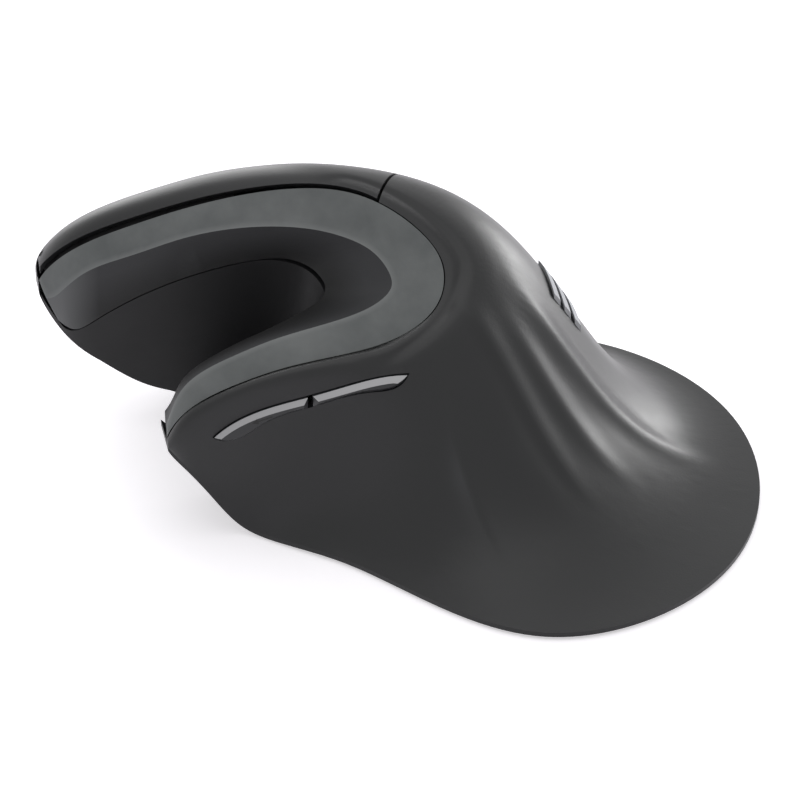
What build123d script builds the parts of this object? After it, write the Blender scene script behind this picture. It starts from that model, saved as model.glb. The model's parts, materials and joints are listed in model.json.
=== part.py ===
from build123d import *
import math
import os
from typing import NamedTuple

os.makedirs("parts", exist_ok=True)

# An upright right-hand mouse, in millimetres. +X runs towards the finger side, +Y towards
# the front tips and +Z up. Sizes here are measured from the optical sensor's point on the
# desk. The files take their origin under the middle of the body, at frame_centre.
frame_centre = (-4.65, 3.98)

# Walls and clearances of the mouldings.
shell_wall = 2.0
shell_foot_wall = 1.2
grip_wall = 1.6
liner_wall = 1.6
skirt_edge = 0.9
seam_gap = 0.2
foot_height = 0.7

band_crown = 0.5
step_crown = 0.0
window_out = 3.0
window_overrun = 2.0
window_in = 4.0

# Click covers and the strip between them, as shares of the way down the finger side.
cover_rise_front = 1.6
cover_rise_rear = 0.45
left_cover_end = 0.37
strip_end = 0.545
right_cover_end = 0.83
cover_gap = 0.5

# Wheel, board and switches under the finger side.
wheel_forward = 38.0
wheel_radius = 8.5
wheel_width = 5.6
wheel_proud = 2.7
board_depth = 10.2
board_thickness = 1.2
switch_length = 12.8
switch_width = 5.8
switch_height = 5.2
plunger_rise = 0.7
click_gap = 0.1
left_switch_forward = -10.0
left_switch_up = 7.9
right_switch_forward = -4.0
right_switch_up = -10.2
rib_radius = 0.9
rib_stop = 2.0

wheel_side_gap = 0.5
cover_wheel_gap = 1.1
wheel_window = 7.6
wheel_press_travel = 0.4
hub_radius = 6.9
hub_hole_radius = 1.2
axle_radius = 1.0
axle_low = 7.2
axle_high = 4.9
tyre_grooves = 36
groove_radius = 0.35
tyre_rim = 0.6
press_fit = 0.02
running_fit = 0.05
carrier_inner = 3.1
carrier_outer = 4.5
carrier_bar = 1.4
carrier_back = -1.4
carrier_front = 10.6
carrier_half = 1.6
carrier_leg_forward = 7.5
carrier_leg_length = 3.0
encoder_length = 7.6
encoder_height = 5.6
encoder_drop = 0.8
encoder_width = 2.2
tact_side = 4.5
tact_height = 2.6
wheel_tact_height = 1.9
tact_forward = 1.6
tact_up = 5.5
plunger_radius = 0.8
plunger_well = 1.2
plunger_travel = 0.5
dpi_forward = -18.0
dpi_up = 2.3
dpi_length = 9.0
dpi_width = 3.6
dpi_gap = 0.25
dpi_proud = 0.1
dpi_round = 0.4
lens_forward = -26.0
lens_up = 1.9
lens_radius = 1.1
lens_sunk = 1.1
led_height = 0.8
led_length = 1.6
led_width = 1.0
BOARD_OUTLINE = [
    (-33.5, -14.4), (-33.5, 11.0), (-3.4, 11.0), (-3.4, 8.2), (4.4, 8.2), (4.4, 5.8), (9.5, 5.8),
    (9.5, 3.1), (-9.2, 3.1), (-9.2, -3.1), (9.5, -3.1), (9.5, -14.4),
]

# Side buttons on the thumb face, in millimetres forwards and up.
SLOT_TOP = [(42.2, 24.5), (38.2, 27.5), (31.1, 30.1), (25.0, 31.3), (18.0, 32.8), (11.0, 33.9), (7.4, 33.9)]
SLOT_LOW = [(7.4, 33.9), (10.5, 31.4), (14.5, 30.9), (20.9, 29.7), (25.0, 28.6), (29.7, 27.5),
            (33.4, 25.6), (36.6, 23.4), (39.5, 22.9), (42.2, 24.5)]
side_split = 24.9
side_split_gap = 0.9
split_reach = 40.0
side_button_gap = 0.25
side_button_proud = 1.1
side_button_depth = 2.8
side_button_facet = 0.8
button_skin_start = 0.02
button_skin_end = 0.55
thumb_height = 28.0
thumb_outside = -19.0
thumb_inside = -9.5
side_stem_length = 2.4
side_stems = {"forward_button": (32.5, 27.9), "back_button": (18.0, 31.5)}

# Base plate and its screws.
plate_thickness = 1.6
plate_top = foot_height + plate_thickness
boss_gap = 0.1
boss_radius = 2.5
boss_height = 13.0
gusset_length = 12.0
gusset_width = 1.6
screw_room = 0.4
screw_radius = 0.95
screw_fit = 0.02
screw_tip = 6.4
cross_length = 2.2
cross_width = 0.5
cross_depth = 0.5
screw_head_radius = 1.9
screw_head_height = 1.0
screw_head_sunk = 0.2
screw_clearance = 0.1
base_screws = [(-32.0, -4.0), (-15.0, -33.0), (25.5, -27.5), (33.0, 25.5), (-11.5, 19.0)]
plate_gap = 0.9
PLATE_FRONT = [(-3.0, 31.5), (4.5, 34.5), (6.5, 36.5), (26.5, 36.5), (32.5, 34.0)]
small_screw_radius = 0.75
small_screw_bite = 1.2
seat_gap = 0.1
small_head_radius = 1.5
small_head_height = 0.9
foot_gap = 0.15
foot_recess = 0.3
GLIDE_FEET = [(12.5, 31.8, 22.0, 5.0, 0), (-32.0, -16.0, 14.0, 5.0, 75), (-3.0, -40.3, 20.0, 5.0, 0)]

# Battery with its door and tray, turned to the finger side of the sensor.
battery_turn = 25.0
battery_rear = (4.8, -29.2)
battery_height = 9.7
battery_length = 50.5
battery_edge = 0.4
battery_radius = 7.15
battery_nub = 1.2
nub_radius = 2.7
spring_room = 3.4
front_room = 0.8
contact_thickness = 0.35
contact_touch = 0.05
contact_width = 9.0
contact_drop = 2.6
spring_turns = 6
spring_radius = 3.6
spring_step = 0.3
spring_wire = 0.5
tray_gap = 0.35
tray_wall = 1.0
tray_inset = 6.0
tray_end = 12.0
tray_height = 6.0
door_gap = 0.25
door_corner = 1.0
grip_rows = 4
grip_start = 5.0
grip_pitch = 1.8
grip_length = 8.0
grip_width = 0.9
grip_sunk = 0.4

# Main board with its sensor, switch and radio parts.
main_board_height = 4.4
MAIN_BOARD_OUTLINE = [(-11.5, -14.0), (1.5, -14.0), (5.5, -6.0), (5.5, 10.0), (-11.5, 10.0)]
BOARD_POSTS = [(-9.0, -0.5), (3.2, 8.0)]
post_radius = 1.7
sensor_width = 8.0
sensor_length = 11.0
sensor_height = 2.8
sensor_window = 3.0
lens_width = 6.0
lens_length = 8.0
lens_lip = 1.0
lens_recess = 0.5
radio_place = (-8.0, -6.5)
radio_side = 4.0
radio_height = 0.9
power_place = (-5.5, -11.0)
power_length = 8.5
power_width = 3.6
power_travel = 2.5
slider_length = 4.5
slider_width = 3.0
slider_gap = 0.3
slider_sunk = 0.2
slider_play = 0.1
peg_side = 1.2
peg_height = 1.2

# Radio receiver in its pocket.
receiver_place = (-20.3, -1.8)
receiver_width = 14.4
receiver_length = 18.5
receiver_height = 6.2
receiver_round = 1.2
receiver_low = 0.9
receiver_gap = 0.3
cap_length = 6.5
plug_width = 12.0
plug_height = 4.5
plug_sheet = 0.4
pocket_height = 1.0

# Brackets under the boards.
bracket_rear = 20.6
bracket_length = 8.0
bracket_high = 6.0
bracket_low = 15.5
bracket_wall = 1.6
bracket_foot = 6.0
BOARD_SCREWS = [(-14.5, -5.5), (-14.5, -11.5)]
side_board_face = -3.8
side_stem_end = side_board_face - switch_height - plunger_rise - click_gap
SIDE_BOARD_OUTLINE = [
    (8.0, 24.0), (8.0, 35.0), (24.0, 35.0), (28.0, 31.2), (40.0, 31.2), (40.0, 22.5), (20.0, 22.5),
]
side_bracket_middle = 20.2
side_bracket_length = 18.0
side_bracket_top = 33.0
side_bracket_wall = 1.4
side_foot = 6.0
SIDE_FOOT_SCREWS = [(-6.0, 14.0), (-6.0, 26.5)]

# Flat cables between the boards.
socket_width = 2.4
socket_length = 4.6
socket_height = 2.0
main_socket = (-2.4, 7.9)
side_socket = (-8.0, 6.5)
ribbon_forward = -30.7
ribbon_up = -4.0
ribbon_width = 3.2
ribbon_thickness = 0.3
MAIN_RIBBON = [(19.0, 27.0), (6.0, 20.0), (-1.6, 13.0)]
SIDE_RIBBON = [(10.4, 18.0), (7.4, 12.0)]
STRIP_RIBS = [(11.0, -24.0), (11.0, -26.0), (11.0, -28.0)]
strip_width = 12.0
strip_rib = 1.2
strip_proud = 0.7
strip_sunk = 0.5
strip_blank = 60.0
strip_skin_start = 0.1
strip_skin_end = 0.7
side_ribbon_y = 10.6
side_ribbon_z = 25.6

# Valley between the two arms.
valley_floor = 7.0
liner_sink = 0.5
valley_front = 38.6
foot_land = 1.7
core_depth = 3.0


class Station(NamedTuple):
    """One upright cross-section of the body, cut square to the seam.

    seam is the point where the outer shell meets the front grip, heading the compass
    direction in which the section runs outwards, and reach how far out its foot is.
    rim is the first handle from the seam, and shoulder, waist and flare are handles
    at a distance outwards and a height. crease, recess and floor are the points where
    the grip's band ends, its step ends and the liner meets the bottom.
    """

    seam: tuple
    heading: float
    reach: float
    foot: float
    rim: tuple
    shoulder: tuple
    waist: tuple
    flare: tuple
    flange: float
    crease: tuple
    recess: tuple
    floor: tuple


STATIONS = [
    Station((24.4, 67.0, 36.6), 0, 5.0, 33.5, (1.5, 0.8), (3.0, 37.0), (5.0, 36.5), (5.6, 35.0),
            4.2, (22.6, 66.0, 33.5), (22.6, 64.2, 28.6), (22.3, 63.3, 26.4)),
    Station((23.3, 64.3, 40.6), 0, 12.5, 26.5, (2.4, 2.4), (7.5, 43.0), (12.0, 37.5), (13.2, 30.0),
            11.2, (20.0, 63.2, 36.6), (20.9, 61.3, 27.3), (21.6, 60.3, 22.5)),
    Station((21.6, 59.0, 44.9), 0, 17.5, 20.0, (3.0, 3.4), (9.5, 48.8), (16.5, 38.0), (18.6, 26.0),
            15.7, (17.9, 59.0, 41.2), (19.9, 57.5, 29.6), (21.5, 56.0, 18.5)),
    Station((19.6, 51.5, 48.7), 0, 21.0, 13.8, (3.2, 4.0), (11.0, 53.3), (19.0, 39.5), (22.2, 22.0),
            16.3, (15.7, 51.5, 44.9), (18.3, 50.5, 34.3), (22.3, 49.0, 12.6)),
    Station((17.5, 43.0, 52.2), 0, 23.8, 8.0, (3.3, 4.2), (12.0, 56.4), (21.5, 41.0), (24.6, 18.0),
            16.2, (13.3, 43.0, 48.7), (16.4, 42.5, 38.4), (23.0, 41.5, 9.0)),
    Station((15.4, 33.0, 55.2), 0, 26.6, 0.7, (3.3, 4.0), (12.8, 59.2), (23.0, 43.0), (27.0, 16.0),
            7.0, (10.8, 33.0, 51.3), (14.2, 33.0, 41.8), (23.3, 34.0, 7.0)),
    Station((13.4, 23.0, 56.8), 0, 28.8, 0.7, (3.4, 3.4), (13.5, 60.0), (24.5, 44.0), (28.8, 15.0),
            6.0, (8.7, 24.0, 51.7), (12.4, 26.0, 43.1), (22.5, 28.5, 7.0)),
    Station((11.6, 13.4, 56.1), -10, 31.0, 0.7, (3.8, 2.8), (15.5, 58.6), (27.0, 43.0), (31.0, 13.0),
            6.0, (6.6, 17.0, 50.8), (10.8, 22.2, 42.9), (21.2, 25.5, 7.0)),
    Station((9.9, 7.7, 54.0), -28, 36.5, 0.7, (4.2, 2.4), (18.0, 56.2), (31.0, 42.5), (32.0, 8.0),
            7.0, (4.9, 13.0, 49.6), (9.3, 20.1, 42.2), (18.9, 23.0, 7.0)),
    Station((6.4, 1.9, 50.4), -54, 49.0, 0.7, (4.6, 2.0), (21.0, 53.6), (34.0, 33.0), (33.5, 4.0),
            11.0, (2.6, 9.8, 47.9), (7.2, 18.7, 41.2), (16.0, 21.9, 7.0)),
    Station((1.2, -1.8, 46.0), -82, 56.2, 0.7, (4.4, 1.8), (18.5, 48.0), (29.5, 21.0), (33.5, 3.5),
            13.0, (0.0, 7.9, 45.4), (5.2, 18.4, 40.1), (13.0, 21.6, 7.0)),
    Station((-3.5, -1.0, 42.4), -107, 57.6, 0.7, (4.2, 1.4), (15.0, 42.5), (23.0, 14.5), (31.0, 3.5),
            14.0, (-1.8, 8.0, 43.4), (4.0, 19.6, 38.9), (10.5, 22.3, 7.0)),
    Station((-7.3, 3.0, 39.6), -132, 55.4, 0.7, (3.8, 1.2), (11.5, 38.5), (16.0, 13.5), (27.5, 4.0),
            14.0, (-3.5, 11.0, 41.7), (3.1, 22.2, 37.8), (8.3, 24.3, 7.0)),
    Station((-9.7, 9.5, 37.7), -156, 44.5, 0.7, (3.4, 1.0), (8.5, 36.0), (8.5, 14.0), (19.5, 5.0),
            12.0, (-5.0, 15.5, 40.9), (2.3, 25.5, 36.8), (6.8, 27.3, 7.0)),
    Station((-11.0, 20.0, 36.6), -180, 12.8, 0.7, (2.6, 0.8), (5.5, 34.5), (1.0, 18.0), (4.0, 6.0),
            7.0, (-6.3, 22.5, 40.2), (1.4, 30.0, 35.5), (5.8, 31.0, 7.0)),
    Station((-11.7, 29.0, 35.9), -180, 4.6, 0.7, (2.3, 0.7), (4.6, 33.0), (-1.0, 18.0), (-0.5, 8.0),
            6.0, (-7.2, 30.0, 39.2), (0.5, 34.5, 34.4), (5.0, 34.5, 7.0)),
    Station((-12.0, 37.0, 34.0), -180, -1.4, 2.2, (2.0, 0.6), (3.8, 31.0), (-1.0, 19.0), (-2.2, 10.0),
            12.4, (-8.0, 37.0, 37.4), (-0.3, 39.0, 32.9), (4.4, 37.4, 7.0)),
    Station((-12.0, 43.0, 31.6), -180, 0.0, 11.5, (1.8, 0.5), (3.4, 29.5), (0.5, 22.0), (0.0, 16.0),
            11.3, (-8.4, 42.6, 35.2), (-0.9, 43.0, 31.0), (3.2, 40.6, 7.8)),
    Station((-11.6, 47.5, 28.0), -180, 0.8, 18.3, (1.4, 0.3), (2.6, 26.8), (1.8, 23.5), (1.2, 20.5),
            9.7, (-8.6, 46.8, 31.6), (-1.3, 46.0, 28.0), (1.4, 44.2, 13.3)),
    Station((-11.0, 49.8, 23.6), -180, 0.6, 21.4, (0.5, 0.0), (0.9, 23.2), (0.9, 22.6), (0.8, 21.9),
            8.1, (-8.7, 49.5, 25.3), (-1.9, 48.8, 23.2), (-0.8, 47.6, 18.5)),
]


def outward(station):
    """The level direction in which a station's section runs."""
    angle = math.radians(station.heading)
    return Vector(math.cos(angle), math.sin(angle), 0)


def section_plane(station):
    """The upright plane of a station: local x is outwards from the seam, local y is height."""
    way = outward(station)
    foot = (station.seam[0], station.seam[1], 0)
    return Plane(origin=foot, x_dir=way, z_dir=(way.Y, -way.X, 0))


def outer_handles(station):
    """The six handles of the outer surface's curve, from the seam to the foot."""
    seam_height = station.seam[2]
    rim = (station.rim[0], seam_height + station.rim[1])
    foot = (station.reach, station.foot + skirt_edge)
    return [(0, seam_height), rim, station.shoulder, station.waist, station.flare, foot]


def bezier_point(handles, share):
    """The point of a Bezier curve at a share of its parameter."""
    points = list(handles)
    while len(points) > 1:
        points = [
            tuple(a + (b - a) * share for a, b in zip(first, second))
            for first, second in zip(points, points[1:])
        ]
    return points[0]


def bezier_span(handles, start, end):
    """The handles of the stretch of a Bezier curve between two shares."""
    def first_part(points, share):
        kept = []
        while points:
            kept.append(points[0])
            points = [
                tuple(a + (b - a) * share for a, b in zip(first, second))
                for first, second in zip(points, points[1:])
            ]
        return kept

    to_end = first_part(list(handles), end)
    return first_part(to_end[::-1], 1 - start / end)[::-1]


def bezier_speed(handles, share):
    """How far a Bezier curve runs for each unit of its parameter at a share."""
    step = 0.001
    return math.dist(bezier_point(handles, share), bezier_point(handles, share + step)) / step


def bezier_normal(handles, share):
    """The unit normal of a flat Bezier curve, on the left of its way."""
    step = 0.001
    low = bezier_point(handles, max(0, share - step))
    high = bezier_point(handles, min(1, share + step))
    run = math.dist(low, high)
    return (-(high[1] - low[1]) / run, (high[0] - low[0]) / run)


def shifted(handles, distance):
    """The handles of a curve moved along its own normals."""
    last = len(handles) - 1
    moved = []
    for index, handle in enumerate(handles):
        normal = bezier_normal(handles, index / last)
        moved.append((handle[0] + normal[0] * distance, handle[1] + normal[1] * distance))
    return moved


def inner_share(station):
    """How far down the outer curve the hollow inside the shell reaches."""
    floor_height = station.foot + shell_foot_wall + shell_wall + 0.4
    handles = outer_handles(station)
    share = 1.0
    while bezier_point(handles, share)[1] < floor_height and share > 0.5:
        share -= 0.01
    return share


def shell_section(station):
    """The closed section of the shell: outer face, foot, flange and hollow."""
    outer = outer_handles(station)
    inner = shifted(bezier_span(outer, 0, inner_share(station)), -shell_wall)
    flange_end = station.reach - station.flange
    with BuildSketch(section_plane(station)) as section:
        with BuildLine():
            Bezier(*outer)
            Line(outer[-1], (station.reach, station.foot))
            Line((station.reach, station.foot), (flange_end, station.foot))
            Line((flange_end, station.foot), (flange_end, station.foot + shell_foot_wall))
            Line((flange_end, station.foot + shell_foot_wall), inner[-1])
            Bezier(*inner[::-1])
            Line(inner[0], outer[0])
        make_face()
    return section.sketch


def corner(first, second, third, distance):
    """The corner of a bent line after both its legs move to their right by a distance."""
    one = math.atan2(second[1] - first[1], second[0] - first[0])
    two = math.atan2(third[1] - second[1], third[0] - second[0])
    middle = (one + two) / 2 - math.pi / 2
    reach = distance / math.cos((one - two) / 2)
    return (second[0] + reach * math.cos(middle), second[1] + reach * math.sin(middle))


def beside(start, end, point, distance):
    """A point moved by a distance to the right of the way from start to end."""
    run = math.dist(start, end)
    right = ((end[1] - start[1]) / run, -(end[0] - start[0]) / run)
    return (point[0] + right[0] * distance, point[1] + right[1] * distance)


def between(start, end, share, lift):
    """A point on the way from start to end, lifted to its left."""
    point = tuple(a + (b - a) * share for a, b in zip(start, end))
    return beside(start, end, point, -lift)


def grip_section(station):
    """The closed section of the front grip: a band, a crease and a step down to the recess."""
    seam, crease, recess = (Vector(*station.seam), Vector(*station.crease), Vector(*station.recess))
    along = (crease - seam).normalized()
    flat = along.cross(recess - crease).normalized()
    plane = Plane(origin=seam, x_dir=along, z_dir=-flat)
    start = (seam_gap, 0)
    bend = (plane.to_local_coords(crease).X, 0)
    local = plane.to_local_coords(recess)
    end = (local.X, local.Y)
    low_bend = corner(start, bend, end, grip_wall)
    low_start = beside(start, bend, start, grip_wall)
    low_end = beside(bend, end, end, grip_wall)
    with BuildSketch(plane) as section:
        with BuildLine():
            Bezier(start, between(start, bend, 0.5, band_crown), bend)
            Bezier(bend, between(bend, end, 0.5, step_crown), end)
            Line(end, low_end)
            Line(low_end, low_bend)
            Line(low_bend, low_start)
            Line(low_start, start)
        make_face()
    return section.sketch


def liner_section(station):
    """The closed section of the valley liner's wall, from the recess down to its floor."""
    top, bottom = Vector(*station.recess), Vector(*station.floor)
    way = outward(station)
    down = (bottom - top).normalized()
    flat = way.cross(down).normalized()
    plane = Plane(origin=top, x_dir=down, z_dir=flat)
    ring = Vector(*station.recess) - Vector(*station.crease)
    start = (seam_gap + grip_wall * math.sin(math.radians(ring.get_angle(bottom - top))), 0)
    end = ((bottom - top).length, 0)
    side = 1 if plane.to_local_coords(top + way).Y > 0 else -1
    with BuildSketch(plane) as section:
        with BuildLine():
            Line(start, end)
            Line(end, (end[0], side * liner_wall))
            Line((end[0], side * liner_wall), (start[0], side * liner_wall))
            Line((start[0], side * liner_wall), start)
        make_face()
    return section.sketch


def cover_window(station, start, end, before, after):
    """A block that crosses the shell's wall between two shares of its curve."""
    outer = outer_handles(station)
    inwards = window_in * min(1, station.reach / 14)
    end += after / bezier_speed(outer, end)
    start_speed = bezier_speed(outer, start)
    if start * start_speed > before:
        span = bezier_span(outer, start - before / start_speed, end)
    else:
        span = bezier_span(outer, start, end)
        run = math.dist(span[0], span[1])
        span[0] = tuple(a + (a - b) * before / run for a, b in zip(span[0], span[1]))
    high = shifted(span, window_out)
    low = shifted(span, -inwards)
    with BuildSketch(section_plane(station)) as section:
        with BuildLine():
            Bezier(*high)
            Line(high[-1], low[-1])
            Bezier(*low[::-1])
            Line(low[0], high[0])
        make_face()
    return section.sketch


def core_section(station):
    """A filled section under the shell's mid surface, used to trim posts to the shell."""
    outer = outer_handles(station)
    mid = shifted(bezier_span(outer, 0, inner_share(station)), -shell_wall / 2)
    low = station.foot + foot_land
    with BuildSketch(section_plane(station)) as section:
        with BuildLine():
            Bezier(*mid)
            Polyline(mid[-1], (mid[-1][0], low), (-core_depth, low), (-core_depth, mid[0][1]), mid[0])
        make_face()
    return section.sketch


def skin_section(station, high, low, start, end):
    """A section of skin that follows the outer surface between two heights above it."""
    span = bezier_span(outer_handles(station), start, end)
    top = shifted(span, high)
    bottom = shifted(span, low)
    with BuildSketch(section_plane(station)) as section:
        with BuildLine():
            Bezier(*top)
            Line(top[-1], bottom[-1])
            Bezier(*bottom[::-1])
            Line(bottom[0], top[0])
        make_face()
    return section.sketch


def strip_place(y):
    """The frame of the finger side's strip at a distance forwards, from its two stations."""
    front = next(index for index, station in enumerate(STATIONS) if station.seam[1] <= y)
    ahead, behind = STATIONS[front - 1], STATIONS[front]
    share = (y - behind.seam[1]) / (ahead.seam[1] - behind.seam[1])
    middle = (left_cover_end + strip_end) / 2
    point_ahead = bezier_point(outer_handles(ahead), middle)
    point_behind = bezier_point(outer_handles(behind), middle)
    normal = bezier_normal(outer_handles(behind), middle)
    x = (ahead.seam[0] + point_ahead[0]) * share + (behind.seam[0] + point_behind[0]) * (1 - share)
    z = point_ahead[1] * share + point_behind[1] * (1 - share)
    return Plane(origin=(x, y, z), x_dir=(0, 1, 0), z_dir=(normal[0], 0, normal[1]))


def at(plane, forward=0.0, up=0.0, out=0.0, z_dir=None):
    """A plane moved within a frame, with the same directions or a new normal."""
    origin = plane.origin + plane.x_dir * forward + plane.y_dir * up + plane.z_dir * out
    if z_dir is None:
        return Plane(origin=origin, x_dir=plane.x_dir, z_dir=plane.z_dir)
    return Plane(origin=origin, x_dir=plane.x_dir, z_dir=z_dir)


def save(builder, name):
    """Label a finished piece and write it to its own file, measured from the files' origin."""
    piece = builder.part.moved(Location((-frame_centre[0], -frame_centre[1], 0)))
    piece.label = name
    export_step(piece, "parts/" + name + ".step")


def cover_cutter(stations, starts, end, before, after):
    """The sections of a window for a click cover, each from its own starting share of the curve."""
    return [cover_window(station, start, end, before, after) for station, start in zip(stations, starts)]


def seam_shares(stations):
    """The left cover's starting shares, above the seam by a gap that narrows rearwards."""
    count = len(stations) - 1
    shares = []
    for index, station in enumerate(stations):
        rise = cover_rise_front + (cover_rise_rear - cover_rise_front) * index / count
        shares.append(rise / bezier_speed(outer_handles(station), 0))
    return shares


def foot_outline(inset):
    """The outline of the base plate: a spline inside the shell's flange and a straight front."""
    points = []
    for station in BASE_STATIONS:
        point = Vector(*station.seam) + outward(station) * (station.reach - station.flange - inset)
        points.append((point.X, point.Y))
    return points


# The frame on the finger side that the wheel, switches and board are built in:
# local x runs forwards, local y up the face and local z outwards.
LEFT_STATIONS = STATIONS[:9]
RIGHT_STATIONS = STATIONS[1:9]
BASE_STATIONS = STATIONS[5:16]
CORE_STATIONS = STATIONS[5:16]
THUMB_STATIONS = STATIONS[11:19]
FLOOR_STATIONS = STATIONS[5:17]
left_starts = [0] * len(LEFT_STATIONS)
right_starts = [strip_end] * len(RIGHT_STATIONS)
finger = strip_place(wheel_forward)
wheel_depth = wheel_radius - wheel_proud
wheel_centre = at(finger, out=-wheel_depth)
wheel_axis = at(wheel_centre, z_dir=finger.y_dir)
board_top = at(finger, out=-board_depth)
board_under = at(finger, out=-board_depth - board_thickness)
rib_end = switch_height + plunger_rise + click_gap

# Body mouldings.

with BuildPart() as body_wall:
    loft(sections=[shell_section(station) for station in STATIONS])

with BuildPart() as body_core:
    loft(sections=[core_section(station) for station in CORE_STATIONS])

with BuildPart() as front_grip:
    loft(sections=[grip_section(station) for station in STATIONS])
save(front_grip, "front_grip")

with BuildPart() as valley_liner:
    loft(sections=[liner_section(station) for station in STATIONS])
    with BuildSketch(Plane.XY.offset(valley_floor + liner_sink - liner_wall)):
        with BuildLine() as floor_line:
            rail = []
            for station in FLOOR_STATIONS:
                spot = Vector(*station.floor) + outward(station) * liner_wall / 2
                rail.append((spot.X, spot.Y))
            Spline(*rail)
            Polyline(rail[-1], (rail[-1][0], valley_front), (rail[0][0], valley_front), rail[0])
        make_face()
    extrude(amount=liner_wall)
    with BuildSketch(Plane.XY.offset(foot_height + seam_gap)):
        with Locations(((rail[0][0] + rail[-1][0]) / 2, valley_front - liner_wall / 2)):
            Rectangle(rail[0][0] - rail[-1][0], liner_wall)
    extrude(amount=valley_floor - liner_wall / 2 - foot_height - seam_gap)
save(valley_liner, "valley_liner")

# The left click cover takes the crest of the wing and the right one its face.

with BuildPart() as left_click_cover:
    loft(sections=cover_cutter(LEFT_STATIONS, seam_shares(LEFT_STATIONS), left_cover_end, 0, 0))
    add(body_wall.part, mode=Mode.INTERSECT)
    split(bisect_by=section_plane(LEFT_STATIONS[-1]).offset(-cover_gap), keep=Keep.BOTTOM)
    split(bisect_by=section_plane(LEFT_STATIONS[0]).offset(cover_gap), keep=Keep.TOP)
    with BuildSketch(at(finger, out=window_out)):
        Rectangle(2 * wheel_window + 2 * cover_wheel_gap, wheel_width + 2 * cover_wheel_gap)
    extrude(amount=-window_out - window_in, mode=Mode.SUBTRACT)
    with BuildSketch(at(board_top, left_switch_forward, left_switch_up, rib_end)):
        Circle(rib_radius)
    extrude(amount=board_depth - rib_end - rib_stop)
save(left_click_cover, "left_click_cover")

with BuildPart() as right_click_cover:
    loft(sections=cover_cutter(RIGHT_STATIONS, right_starts, right_cover_end, 0, 0))
    add(body_wall.part, mode=Mode.INTERSECT)
    split(bisect_by=section_plane(RIGHT_STATIONS[-1]).offset(-cover_gap), keep=Keep.BOTTOM)
    split(bisect_by=section_plane(RIGHT_STATIONS[0]).offset(cover_gap), keep=Keep.TOP)
    with BuildSketch(at(board_top, right_switch_forward, right_switch_up, rib_end)):
        Circle(rib_radius)
    extrude(amount=board_depth - rib_end - rib_stop)
save(right_click_cover, "right_click_cover")

# The two side buttons share one slot, drawn in the side view and cut through the thumb face.


def moved_left(points, distance):
    """The points of a line moved to the left of its way."""
    moved = []
    for index, point in enumerate(points):
        before, after = points[max(0, index - 1)], points[min(len(points) - 1, index + 1)]
        moved.append(beside(before, after, point, -distance))
    return moved


def side_slot(inset):
    """The outline of the side buttons' slot in the side view, drawn in by an inset."""
    with BuildSketch() as outline:
        for points, way, mode in ((SLOT_TOP, -1, Mode.ADD), (SLOT_LOW, 1, Mode.INTERSECT)):
            edge = moved_left(points, inset)
            far = way * split_reach
            with BuildLine():
                Spline(*edge)
                Polyline(edge[-1], (edge[-1][0], edge[-1][1] + far), (edge[0][0], edge[0][1] + far), edge[0])
            make_face(mode=mode)
    return outline.sketch


with BuildPart() as button_skin:
    skin = (side_button_proud, -side_button_depth, button_skin_start, button_skin_end)
    loft(sections=[skin_section(station, *skin) for station in THUMB_STATIONS])

for name, keep in (("forward_button", 1), ("back_button", -1)):
    with BuildPart() as side_button:
        with BuildSketch(Plane.YZ.offset(thumb_outside)):
            add(side_slot(side_button_gap))
            with Locations((side_split - keep * (split_reach - side_split_gap / 2), thumb_height)):
                Rectangle(2 * split_reach, 2 * split_reach, mode=Mode.SUBTRACT)
        extrude(amount=thumb_inside - thumb_outside)
        add(button_skin.part, mode=Mode.INTERSECT)
        chamfer(side_button.faces().sort_by(Axis.X)[0].edges(), side_button_facet)
        stem_y, stem_z = side_stems[name]
        with BuildSketch(Plane(origin=(side_stem_end, stem_y, stem_z), z_dir=(-1, 0, 0))):
            Circle(rib_radius)
        extrude(amount=side_stem_length)
    save(side_button, name)

# The outer shell: windows, slots, screw bosses.

with BuildPart() as boss_posts:
    with BuildSketch(Plane.XY.offset(plate_top + boss_gap)):
        with Locations(*base_screws):
            Circle(boss_radius)
        with Locations((base_screws[3][0] + gusset_length / 2, base_screws[3][1])):
            Rectangle(gusset_length, gusset_width)
    extrude(amount=boss_height)
    add(body_core.part, mode=Mode.INTERSECT)

with BuildPart() as main_shell:
    add(body_wall.part)
    loft(sections=cover_cutter(LEFT_STATIONS, left_starts, left_cover_end, window_overrun, cover_gap),
         mode=Mode.SUBTRACT)
    loft(sections=cover_cutter(RIGHT_STATIONS, right_starts, right_cover_end, cover_gap, cover_gap),
         mode=Mode.SUBTRACT)
    with BuildSketch(at(finger, out=window_out)):
        Rectangle(2 * wheel_window, wheel_width + 2 * wheel_side_gap)
        with Locations((dpi_forward, dpi_up)):
            RectangleRounded(dpi_length + 2 * dpi_gap, dpi_width + 2 * dpi_gap, dpi_width / 2)
        with Locations((lens_forward, lens_up)):
            Circle(lens_radius + dpi_gap / 2)
    extrude(amount=-window_out - window_in, mode=Mode.SUBTRACT)
    with BuildSketch(Plane.YZ.offset(thumb_outside)):
        add(side_slot(0))
    extrude(amount=thumb_inside - thumb_outside, mode=Mode.SUBTRACT)
    add(boss_posts.part)
    with BuildSketch(Plane.XY):
        with Locations(*base_screws):
            Circle(screw_radius + screw_fit)
    extrude(amount=screw_tip + screw_room, mode=Mode.SUBTRACT)
save(main_shell, "main_shell")

# Wheel group.

with BuildPart() as wheel_axle:
    with BuildSketch(at(wheel_axis, out=-axle_low)):
        Circle(axle_radius)
    extrude(amount=axle_low + axle_high)
save(wheel_axle, "wheel_axle")

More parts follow.
